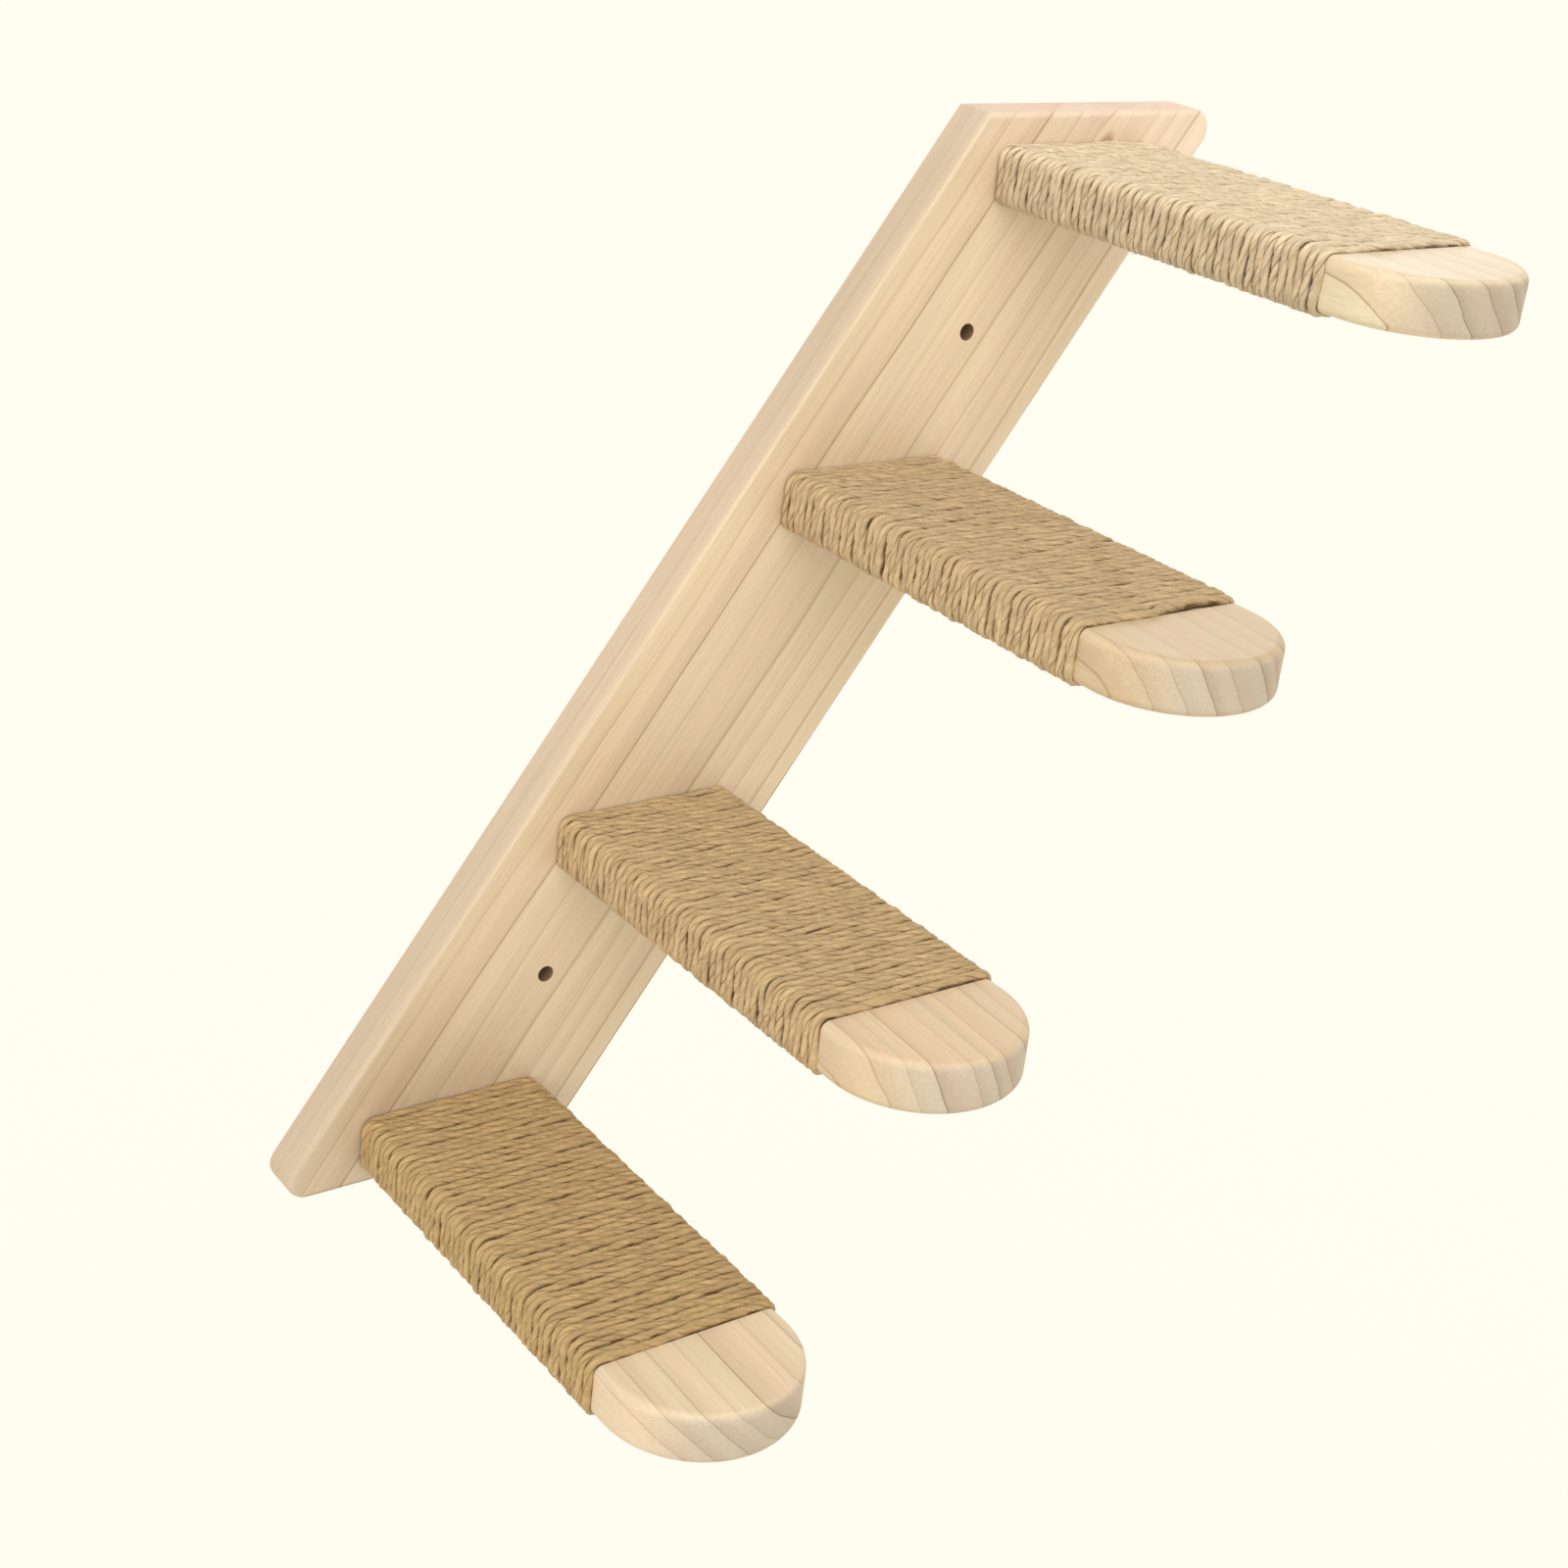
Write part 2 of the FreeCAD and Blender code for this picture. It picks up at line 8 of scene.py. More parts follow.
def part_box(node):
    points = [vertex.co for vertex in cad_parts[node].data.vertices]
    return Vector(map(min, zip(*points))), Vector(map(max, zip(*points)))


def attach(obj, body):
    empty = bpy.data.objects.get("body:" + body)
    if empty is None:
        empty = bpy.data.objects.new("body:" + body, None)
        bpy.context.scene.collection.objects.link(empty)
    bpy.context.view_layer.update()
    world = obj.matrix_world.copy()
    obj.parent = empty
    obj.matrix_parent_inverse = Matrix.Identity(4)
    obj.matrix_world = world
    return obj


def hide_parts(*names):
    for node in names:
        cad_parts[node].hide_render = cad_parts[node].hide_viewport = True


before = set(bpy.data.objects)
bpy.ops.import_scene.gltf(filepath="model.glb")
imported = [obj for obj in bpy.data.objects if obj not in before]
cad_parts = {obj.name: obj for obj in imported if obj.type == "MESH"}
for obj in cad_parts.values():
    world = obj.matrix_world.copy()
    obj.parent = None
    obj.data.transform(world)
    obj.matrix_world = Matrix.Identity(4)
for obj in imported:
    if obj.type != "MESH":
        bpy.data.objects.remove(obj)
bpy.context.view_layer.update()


# Back board
# One planed pine board, cut to a slanted shape with level ends and fixed flat to the wall through two
# bored holes. Its grain runs along the slant, its edges are eased, and a small knot sits by the upper end.

BOARD_SLANT = math.radians(55.1)
BOARD_PITH = (0.0, 0.16, 0.21)
BOARD_KNOT = (0.286, -0.021, -0.008)
BOARD_KNOT_STRETCH = (0.6, 0.0, 1.0)
BOARD_KNOT_REACH = 0.022
BOARD_KNOT_PUSH = 0.012
BOARD_KNOT_SPOT = (0.0055, 0.0020)
BOARD_RING_GAP = 0.0135
BOARD_BENDS = (0.014, 0.0020)
BOARD_GRAIN_SHIFT = (3.1, 0.4, 8.2)
BOARD_HOLES = ((-0.10799, 0.0, -0.15480), (0.10028, 0.0, 0.14375))
BOARD_HOLE_RADIUS = 0.0040
BOARD_TONE = (1.000, 1.000, 1.000, 1.0)
BOARD_END = (1.080, 1.050, 1.080, 1.0)
# The sawn edges' own darker tone, with painted shade that dims the light on the eased edges.
BOARD_SAWN_TONE_AND_SHADE = (0.770, 0.745, 0.765, 1.0)
# Painted shade: a brown band on the eased edge at the lower right, which turns away from the light.
BOARD_LOW_EDGE_SHADE = (0.720, 0.580, 0.420, 1.0)
BOARD_LOW_EDGE_SHADE_RUN = (-0.01, -0.07)
# Painted light: the face gets darker towards the lower end and paler towards the upper end.
BOARD_PAINTED_FALLOFF_RUN = (-0.30, 0.30)
BOARD_PAINTED_FALLOFF = (0.935, 1.060)
# Painted shade: the face darkens further at the lower end.
BOARD_LOW_END_SHADE_RUN = (-0.31, -0.19)
BOARD_LOW_END_SHADE = 0.84
# Painted light: the board is paler at its upper end.
BOARD_TOP_END_LIGHT_RUN = (0.215, 0.285)
BOARD_TOP_END_LIGHT = (1.060, 1.070, 1.170, 1.0)
# Painted shade inside the bored holes.
BOARD_BORE_SHADE = (0.240, 0.145, 0.070, 1.0)
PINE_EARLY = (0.735, 0.590, 0.395, 1.0)
PINE_ROSY = (0.745, 0.570, 0.385, 1.0)
PINE_LATE = (0.430, 0.285, 0.155, 1.0)
PINE_KNOT = (0.300, 0.155, 0.070, 1.0)
PINE_SLOW_WAVES = (2.2, 16.0, 16.0)
PINE_SHORT_WAVES = (9.0, 60.0, 60.0)
PINE_UNEVEN_WAVES = 42.0
PINE_UNEVEN = 0.014
PINE_SHADE = 0.24
PINE_LINE_RUN = (0.925, 0.985)
PINE_LINE = 0.76
PINE_LANE_WAVES = 0.8
PINE_PATCH_WAVES = (5.0, 25.0, 25.0)
PINE_PATCH_SHIFT = (4.0, 7.0, 2.0)
PINE_PATCH = (0.95, 1.04)
PINE_STREAK_WAVES = (14.0, 900.0, 900.0)
PINE_STREAK = (0.93, 1.03)
PINE_PORE_WAVES = (40.0, 2600.0, 2600.0)
PINE_PORE = 0.30
PINE_ROUGHNESS = 0.30
PINE_STREAK_ROUGHNESS = 0.25
PINE_END_ROUGHNESS = 0.50
PINE_SAWN_ROUGHNESS = 0.25
PINE_LINE_POLISH = -0.12
PINE_SPECULAR = 0.50
PINE_RELIEF = 0.0002


def shader_node(tree, kind, sockets=None, **settings):
    """Adds a shader node and gives its settings; a socket takes a constant or another node's output."""
    made = tree.nodes.new("ShaderNode" + kind)
    for name, value in settings.items():
        setattr(made, name, value)
    for key, value in (sockets or {}).items():
        if isinstance(value, bpy.types.NodeSocket):
            tree.links.new(value, made.inputs[key])
        else:
            made.inputs[key].default_value = value
    return made


def calc(tree, operation, *values):
    """The result of one arithmetic step on outputs and constants."""
    return shader_node(tree, "Math", dict(enumerate(values)), operation=operation).outputs[0]


def vector_calc(tree, operation, *values):
    """The result of one vector step; a length or a dot product comes out as a number."""
    made = shader_node(tree, "VectorMath", dict(enumerate(values)), operation=operation)
    return made.outputs["Value" if operation in ("LENGTH", "DOT_PRODUCT") else "Vector"]


def noise(tree, place, waves, shift, detail=2.0):
    """Smooth noise around one half, with so many waves per metre along each axis."""
    spread = shader_node(tree, "Mapping", {"Vector": place, "Scale": waves, "Location": shift}).outputs[0]
    sockets = {"Vector": spread, "Scale": 1.0, "Detail": detail}
    return shader_node(tree, "TexNoise", sockets).outputs[0]


def ease(tree, value, start, end, first=0.0, last=1.0):
    """Goes smoothly from the first to the last level while the value goes from start to end."""
    sockets = {0: value, 1: start, 2: end, 3: first, 4: last}
    return shader_node(tree, "MapRange", sockets, interpolation_type="SMOOTHSTEP").outputs[0]


def blend(tree, amount, first, second, way="MIX"):
    """Mixes two colours by an amount."""
    sockets = {0: amount, 6: first, 7: second}
    return shader_node(tree, "Mix", sockets, data_type="RGBA", blend_type=way).outputs[2]


def new_material(name):
    """An empty material with its node tree and its surface shader."""
    material = bpy.data.materials.new(name)
    material.use_nodes = True
    return material, material.node_tree, material.node_tree.nodes["Principled BSDF"]


def pine(name, grain_turn, pith, ring_gap, bends, shift, end_tint, tone, knot=None, holes=()):
    """Planed bare pine whose grain runs along the turned X axis.

    A ring's number is the distance from the pith line, bent by slow and short noise and made uneven by
    noise over that distance, divided by the ring gap. Within each ring the wood darkens to a thin line of
    late wood, and fine streaks follow the grain. Ends that cut across the grain take a tint and are
    rougher. The other faces take the piece's tone, which on the treads also carries painted light.

    The piece with a knot is the board: the knot is a dark round spot that pushes the rings apart. The sawn
    long edges are plainer and darker, partly their own tone and partly painted shade that dims the light on
    the eased edges. Painted shade browns the eased edge at the lower right and darkens the face near the
    lower end, painted light pales the face towards the upper end, which is rosy, and pales the top end
    further, and the bored holes are coloured dark inside as painted shade.
    """
    material, tree, surface = new_material(name)
    place = shader_node(tree, "TexCoord").outputs["Object"]
    turned = shader_node(tree, "Mapping", {"Vector": place, "Rotation": grain_turn}).outputs[0]
    from_pith = vector_calc(tree, "SUBTRACT", turned, pith)
    radius = vector_calc(tree, "LENGTH", vector_calc(tree, "MULTIPLY", from_pith, (0.0, 1.0, 1.0)))
    slow_bend = noise(tree, turned, PINE_SLOW_WAVES, shift)
    bent = calc(tree, "MULTIPLY_ADD", slow_bend, bends[0], radius)
    short_bend = noise(tree, turned, PINE_SHORT_WAVES, shift)
    bent = calc(tree, "MULTIPLY_ADD", short_bend, bends[1], bent)
    if knot:
        from_knot = vector_calc(tree, "SUBTRACT", turned, knot)
        stretched = vector_calc(tree, "MULTIPLY", from_knot, BOARD_KNOT_STRETCH)
        knot_distance = vector_calc(tree, "LENGTH", stretched)
        push = ease(tree, knot_distance, BOARD_KNOT_REACH, 0.0, 0.0, BOARD_KNOT_PUSH)
        bent = calc(tree, "ADD", bent, push)
    uneven_sockets = {"W": bent, "Scale": PINE_UNEVEN_WAVES, "Detail": 0.0}
    uneven = shader_node(tree, "TexNoise", uneven_sockets, noise_dimensions="1D").outputs[0]
    bent = calc(tree, "MULTIPLY_ADD", uneven, PINE_UNEVEN, bent)
    ring = calc(tree, "DIVIDE", bent, ring_gap)
    number = calc(tree, "FLOOR", ring)
    age = calc(tree, "FRACT", ring)
    chance = shader_node(tree, "TexWhiteNoise", {"W": number}, noise_dimensions="1D").outputs["Value"]
    strength = calc(tree, "MULTIPLY_ADD", chance, 0.60, 0.40)
    along_grain, _, over_edge = Euler(grain_turn).to_matrix()
    normal = shader_node(tree, "NewGeometry").outputs["Normal"]
    end_on = calc(tree, "ABSOLUTE", vector_calc(tree, "DOT_PRODUCT", normal, along_grain))
    end_on = ease(tree, end_on, 0.40, 0.95)
    shade = ease(tree, age, 0.25, 1.0, 0.0, PINE_SHADE)
    shade = calc(tree, "MULTIPLY", shade, calc(tree, "MULTIPLY_ADD", end_on, 0.9, 1.0))
    line = ease(tree, age, *PINE_LINE_RUN, 0.0, PINE_LINE)
    late = calc(tree, "MULTIPLY", calc(tree, "ADD", shade, line), strength)
    if knot:
        side = vector_calc(tree, "DOT_PRODUCT", normal, over_edge)
        edge_on = ease(tree, calc(tree, "ABSOLUTE", side), 0.20, 0.90)
        face_on = ease(tree, edge_on, 0.0, 1.0, 1.0, 0.25)
        late = calc(tree, "MULTIPLY", late, face_on)
        late = calc(tree, "MULTIPLY", late, ease(tree, end_on, 0.0, 1.0, 1.0, 0.35))
    lane_sockets = {"W": ring, "Scale": PINE_LANE_WAVES, "Detail": 1.0}
    lane = shader_node(tree, "TexNoise", lane_sockets, noise_dimensions="1D").outputs[0]
    colour = blend(tree, ease(tree, lane, 0.35, 0.65), PINE_EARLY, PINE_ROSY)
    colour = blend(tree, late, colour, PINE_LATE)
    patch = noise(tree, turned, PINE_PATCH_WAVES, PINE_PATCH_SHIFT)
    colour = blend(tree, 1.0, colour, ease(tree, patch, 0.3, 0.7, *PINE_PATCH), "MULTIPLY")
    colour = blend(tree, ease(tree, end_on, 1.0, 0.0), colour, tone, "MULTIPLY")
    streak = noise(tree, turned, PINE_STREAK_WAVES, shift, 3.0)
    colour = blend(tree, 1.0, colour, ease(tree, streak, 0.3, 0.75, *PINE_STREAK), "MULTIPLY")
    pore = noise(tree, turned, PINE_PORE_WAVES, shift, 1.0)
    colour = blend(tree, ease(tree, pore, 0.64, 0.76, 0.0, PINE_PORE), colour, PINE_LATE)
    colour = blend(tree, end_on, colour, end_tint, "MULTIPLY")
    if knot:
        # The sawn edges' own tone, plus painted shade over the eased edges.
        colour = blend(tree, edge_on, colour, BOARD_SAWN_TONE_AND_SHADE, "MULTIPLY")
        upward = shader_node(tree, "SeparateXYZ", {0: turned}).outputs[0]
        # Painted shade on the eased lower right edge, below the middle of the board.
        off_face = ease(tree, side, -0.02, -0.30)
        off_edge = ease(tree, side, -0.98, -0.85)
        low_edge_shade = calc(tree, "MULTIPLY", off_face, off_edge)
        low_edge_shade = calc(tree, "MULTIPLY", low_edge_shade, ease(tree, upward, *BOARD_LOW_EDGE_SHADE_RUN))
        colour = blend(tree, low_edge_shade, colour, BOARD_LOW_EDGE_SHADE, "MULTIPLY")
        # Painted light falling off from the upper end of the face to the lower.
        painted_falloff = ease(tree, upward, *BOARD_PAINTED_FALLOFF_RUN, *BOARD_PAINTED_FALLOFF)
        colour = blend(tree, face_on, colour, painted_falloff, "MULTIPLY")
        # Painted shade near the lower end of the face.
        low_end_shade = ease(tree, upward, *BOARD_LOW_END_SHADE_RUN, BOARD_LOW_END_SHADE, 1.0)
        colour = blend(tree, face_on, colour, low_end_shade, "MULTIPLY")
        # Painted light at the upper end of the board.
        top_end_light = ease(tree, upward, *BOARD_TOP_END_LIGHT_RUN)
        colour = blend(tree, top_end_light, colour, BOARD_TOP_END_LIGHT, "MULTIPLY")
        spot = ease(tree, knot_distance, *BOARD_KNOT_SPOT, 0.0, 0.60)
        colour = blend(tree, spot, colour, PINE_KNOT)
    # Painted shade: the walls of the bored holes are coloured dark.
    for hole in holes:
        from_hole = vector_calc(tree, "SUBTRACT", place, hole)
        level_part = vector_calc(tree, "MULTIPLY", from_hole, (1.0, 0.0, 1.0))
        hole_distance = vector_calc(tree, "LENGTH", level_part)
        inside = ease(tree, hole_distance, BOARD_HOLE_RADIUS * 1.08, BOARD_HOLE_RADIUS)
        colour = blend(tree, inside, colour, BOARD_BORE_SHADE)
    tree.links.new(colour, surface.inputs["Base Color"])
    rough = calc(tree, "MULTIPLY_ADD", streak, PINE_STREAK_ROUGHNESS, PINE_ROUGHNESS)
    rough = calc(tree, "MULTIPLY_ADD", end_on, PINE_END_ROUGHNESS, rough)
    if knot:
        rough = calc(tree, "MULTIPLY_ADD", edge_on, PINE_SAWN_ROUGHNESS, rough)
    rough = calc(tree, "MULTIPLY_ADD", late, PINE_LINE_POLISH, rough)
    tree.links.new(rough, surface.inputs["Roughness"])
    height = calc(tree, "MULTIPLY_ADD", late, 0.6, streak)
    bump = shader_node(tree, "Bump", {"Height": height, "Strength": 0.35, "Distance": PINE_RELIEF})
    tree.links.new(bump.outputs[0], surface.inputs["Normal"])
    surface.inputs["Specular IOR Level"].default_value = PINE_SPECULAR
    return material


def dress(node, material):
    """Gives a CAD node's object a material."""
    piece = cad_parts[node]
    if not piece.material_slots:
        piece.data.materials.append(None)
    for place in piece.material_slots:
        place.material = material


board_pine = pine(
    "board_pine",
    (0.0, BOARD_SLANT, 0.0),
    BOARD_PITH,
    BOARD_RING_GAP,
    BOARD_BENDS,
    BOARD_GRAIN_SHIFT,
    BOARD_END,
    BOARD_TONE,
    BOARD_KNOT,
    BOARD_HOLES,
)
dress("back_board", board_pine)


# Treads
# Four level pine treads, each with a full-round nose with eased edges and a thinner waist that the rope
# covers. The grain runs out from the wall, and the rings show as slanted bands on the round end.

TREADS = ("1", "2", "3", "4")
TREAD_GRAIN_LEAN = {"1": 2.0, "2": 4.0, "3": 5.0, "4": 3.0}
TREAD_PITH = {"1": (0.135, 0.150), "2": (0.160, 0.080), "3": (0.170, 0.090), "4": (0.150, 0.110)}
TREAD_RING_GAP = {"1": 0.0100, "2": 0.0100, "3": 0.0105, "4": 0.0115}
TREAD_BENDS = (0.008, 0.0022)
TREAD_END = (0.725, 0.755, 0.835, 1.0)
# Each tread's tone on the faces along the grain, partly painted light: the top tread is painted lighter.
TREAD_TONE_AND_LIGHT = {
    "1": (0.970, 0.970, 0.970, 1.0),
    "2": (0.890, 0.850, 0.810, 1.0),
    "3": (0.830, 0.790, 0.710, 1.0),
    "4": (1.020, 1.060, 1.050, 1.0),
}

for tread in TREADS:
    low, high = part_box(f"tread_{tread}")
    turn = math.radians(90.0 + TREAD_GRAIN_LEAN[tread])
    turned_centre = Euler((0.0, 0.0, turn)).to_matrix() @ ((low + high) / 2)
    away_x, away_z = TREAD_PITH[tread]
    pith = (0.0, turned_centre.y + away_x, turned_centre.z + away_z)
    shift = (1.7 * int(tread), 0.9 * int(tread), 2.3)
    gap = TREAD_RING_GAP[tread]
    tone = TREAD_TONE_AND_LIGHT[tread]
    finish = f"tread_{tread}_pine"
    tread_pine = pine(finish, (0.0, 0.0, turn), pith, gap, TREAD_BENDS, shift, TREAD_END, tone)
    dress(f"tread_{tread}", tread_pine)


# Rope windings
# A three-strand jute cord is wound side by side over each waist, square across the top and sides. It steps
# on to the next turn on the underside, where both its ends are stapled, and fills the waist flush with
# the nose.

ROPE_TURNS = 45
ROPE_STEPS_PER_TURN = 150
ROPE_RADIUS = 0.0023
ROPE_GROOVE = 0.17
ROPE_SQUARENESS = 3.2
ROPE_LAY = 0.0290
ROPE_STRANDS = 3
ROPE_POINTS_PER_STRAND = 4
ROPE_FIT = 0.0003
ROPE_BEND = 0.0046
ROPE_END = 0.0085
ROPE_SEED = 100
ROPE_LIFT_WAVE = 0.04
ROPE_LIFT = 0.00026
ROPE_SWAY_WAVE = 0.045
ROPE_SWAY = 0.00054
ROPE_SWELL_WAVE = 0.034
ROPE_SWELL = 0.050
ROPE_TWIST_WAVE = 0.05
ROPE_TWIST = 0.70
ROPE_FRAY_COUNT = 260
ROPE_FRAY_POINTS = 5
ROPE_FRAY_SIDES = 3
ROPE_FRAY_LEAN = 1.1
ROPE_FRAY_LENGTH = (0.003, 0.009)
ROPE_FRAY_LIFT = (0.08, 0.32)
ROPE_FRAY_SWERVE = 0.5
ROPE_FRAY_WIDTH = 0.00007
ROPE_FRAY_ENDS = 20
ROPE_TUCK = {"1": 0.0004, "2": 0.0010, "3": 0.0030, "4": 0.0018}
ROPE_TUCK_TURNS = 5
# Lifts the height on the free side of the last turn, so that the painted gap shade keeps to its foot by the
# nose.
ROPE_FREE_SIDE = 0.35
# Each winding's middle, dark and light colours. They get lighter from the lowest winding to the highest,
# partly as painted light on the upper windings.
ROPE_COLOURS = {
    "1": ((0.535, 0.365, 0.170, 1.0), (0.350, 0.212, 0.082, 1.0), (0.665, 0.510, 0.295, 1.0)),
    "2": ((0.615, 0.437, 0.241, 1.0), (0.403, 0.257, 0.116, 1.0), (0.758, 0.594, 0.392, 1.0)),
    "3": ((0.641, 0.473, 0.270, 1.0), (0.422, 0.274, 0.128, 1.0), (0.779, 0.628, 0.420, 1.0)),
    "4": ((0.655, 0.517, 0.340, 1.0), (0.458, 0.324, 0.172, 1.0), (0.780, 0.656, 0.475, 1.0)),
}
# Painted shade: the dark colour laid in the grooves between the strands.
ROPE_GROOVE_SHADE_COLOUR = (0.250, 0.140, 0.050, 1.0)
# Painted shade: the dark colour laid in the gaps between the turns.
ROPE_GAP_SHADE_COLOUR = (0.135, 0.070, 0.022, 1.0)
# Painted light: a tint on the faces that look up, lighter on the top winding and darker on the middle two.
ROPE_PAINTED_TOP_LIGHT = {
    "1": (1.000, 1.000, 1.000, 1.0),
    "2": (0.950, 0.950, 0.900, 1.0),
    "3": (0.920, 0.910, 0.880, 1.0),
    "4": (1.200, 1.230, 1.280, 1.0),
}
ROPE_SHEEN = {"1": 0.20, "2": 0.24, "3": 0.28, "4": 0.65}
ROPE_SHEEN_COLOUR = (1.000, 0.900, 0.730, 1.0)
ROPE_SHEEN_ROUGHNESS = 0.30
ROPE_SPECULAR = 0.10
ROPE_ROUGHNESS = (0.95, 0.78)
ROPE_RELIEF = 0.0004
ROPE_FIBRE_WAVES = (260.0, 42.0, 1.0)
ROPE_HAIR_WAVES = (900.0, 150.0, 1.0)
ROPE_PATCH_WAVES = (55.0, 3.0, 1.0)
ROPE_PATCH = (0.86, 1.10)
ROPE_GROOVE_WAVES = (70.0, 1.0, 1.0)
ROPE_GROOVE_SHARE = (0.15, 0.95)
ROPE_GAP_WAVES = (95.0, 0.0, 1.0)
ROPE_GAP_SHARE = (0.12, 0.85)


def mesh_piece(name, points, heights, faces, face_uvs, material):
    """A smooth object from arrays: points, a height for each, groups of faces, a UV for each corner."""
    corners = np.concatenate([group.ravel() for group in faces]).astype(np.int32)
    counts = np.concatenate([np.full(len(group), group.shape[1]) for group in faces]).astype(np.int32)
    starts = np.concatenate([[0], np.cumsum(counts)[:-1]]).astype(np.int32)
    mesh = bpy.data.meshes.new(name)
    mesh.vertices.add(len(points))
    mesh.vertices.foreach_set("co", points.astype(np.float32).ravel())
    mesh.loops.add(len(corners))
    mesh.loops.foreach_set("vertex_index", corners)
    mesh.polygons.add(len(counts))
    mesh.polygons.foreach_set("loop_start", starts)
    mesh.polygons.foreach_set("loop_total", counts)
    mesh.update(calc_edges=True)
    mesh.shade_smooth()
    layer = mesh.uv_layers.new(name="cord")
    layer.data.foreach_set("uv", np.concatenate(face_uvs).astype(np.float32).ravel())
    mesh.attributes.new("height", "FLOAT", "POINT").data.foreach_set("value", heights.astype(np.float32))
    mesh.materials.append(material)
    piece = bpy.data.objects.new(name, mesh)
    bpy.context.scene.collection.objects.link(piece)
    return piece


def slow_wander(rng, along, wave, size):
    """A sum of four sine waves with chance lengths around a given one and chance starts."""
    lengths = wave * rng.uniform(0.6, 1.8, 4)
    starts = rng.uniform(0.0, 2 * math.pi, 4)
    return size * np.sin(along[:, None] * 2 * math.pi / lengths + starts).sum(axis=1) / 2


def rope_line(centre, half_width, half_height, root_y, nose_y, tuck, rng):
    """The wound cord's centre line: distance along it, points, outward direction, and the turn by the nose.

    One turn goes round a rectangle with round corners: a corner point of the rectangle plus the bend
    radius times the outward direction. Along the underside it moves on by one pitch, easing in and out.
    Slow waves lift it off the wood and sway it sideways. Past the middle of the top the last turn is
    pulled back from the nose, and the turns behind it less and less.
    """
    half_run = half_width - ROPE_RADIUS - ROPE_BEND
    half_rise = half_height - ROPE_RADIUS - ROPE_BEND
    quarter = ROPE_BEND * math.pi / 2
    runs = np.array([quarter, 2 * half_rise, quarter, 2 * half_run] * 2)
    stops = np.concatenate([[0.0], np.cumsum(runs)])
    around = stops[-1]
    corner_x = half_run * np.array([-1, -1, -1, -1, 1, 1, 1, 1, -1])
    corner_z = half_rise * np.array([-1, -1, 1, 1, 1, 1, -1, -1, -1])
    facing = math.pi * np.array([1.5, 1.0, 1.0, 0.5, 0.5, 0.0, 0.0, -0.5, -0.5])
    start = -ROPE_END
    end = ROPE_TURNS * around - 2 * half_run + ROPE_END
    along = np.linspace(start, end, ROPE_TURNS * ROPE_STEPS_PER_TURN + 1)
    turn = np.floor(along / around)
    part = along - turn * around
    angle = np.interp(part, stops, facing)
    step = np.clip((part - (around - 2 * half_run)) / (2 * half_run), 0.0, 1.0)
    step = step * step * (3 - 2 * step)
    row = np.clip(turn + step, 0, ROPE_TURNS - 1)
    pitch = (root_y - nose_y - 2 * ROPE_FIT) / ROPE_TURNS
    lift = slow_wander(rng, along, ROPE_LIFT_WAVE, ROPE_LIFT)
    by_nose = (row > ROPE_TURNS - 1.5).astype(float)
    across = np.interp(part, stops, corner_x)
    pull = np.clip((across / half_run + 0.08) / 0.16, 0.0, 1.0)
    pull = pull * np.clip(1 - (ROPE_TURNS - 1 - row) / ROPE_TUCK_TURNS, 0.0, 1.0)
    outward = np.stack([np.cos(angle), np.zeros_like(angle), np.sin(angle)], axis=1)
    shift = slow_wander(rng, along, ROPE_SWAY_WAVE, ROPE_SWAY) + pull * tuck
    points = np.stack([
        centre.x + across,
        root_y - ROPE_FIT - (row + 0.5) * pitch + shift,
        centre.z + np.interp(part, stops, corner_z),
    ], axis=1)
    points += outward * (ROPE_BEND + lift)[:, None]
    return along, points, outward, by_nose


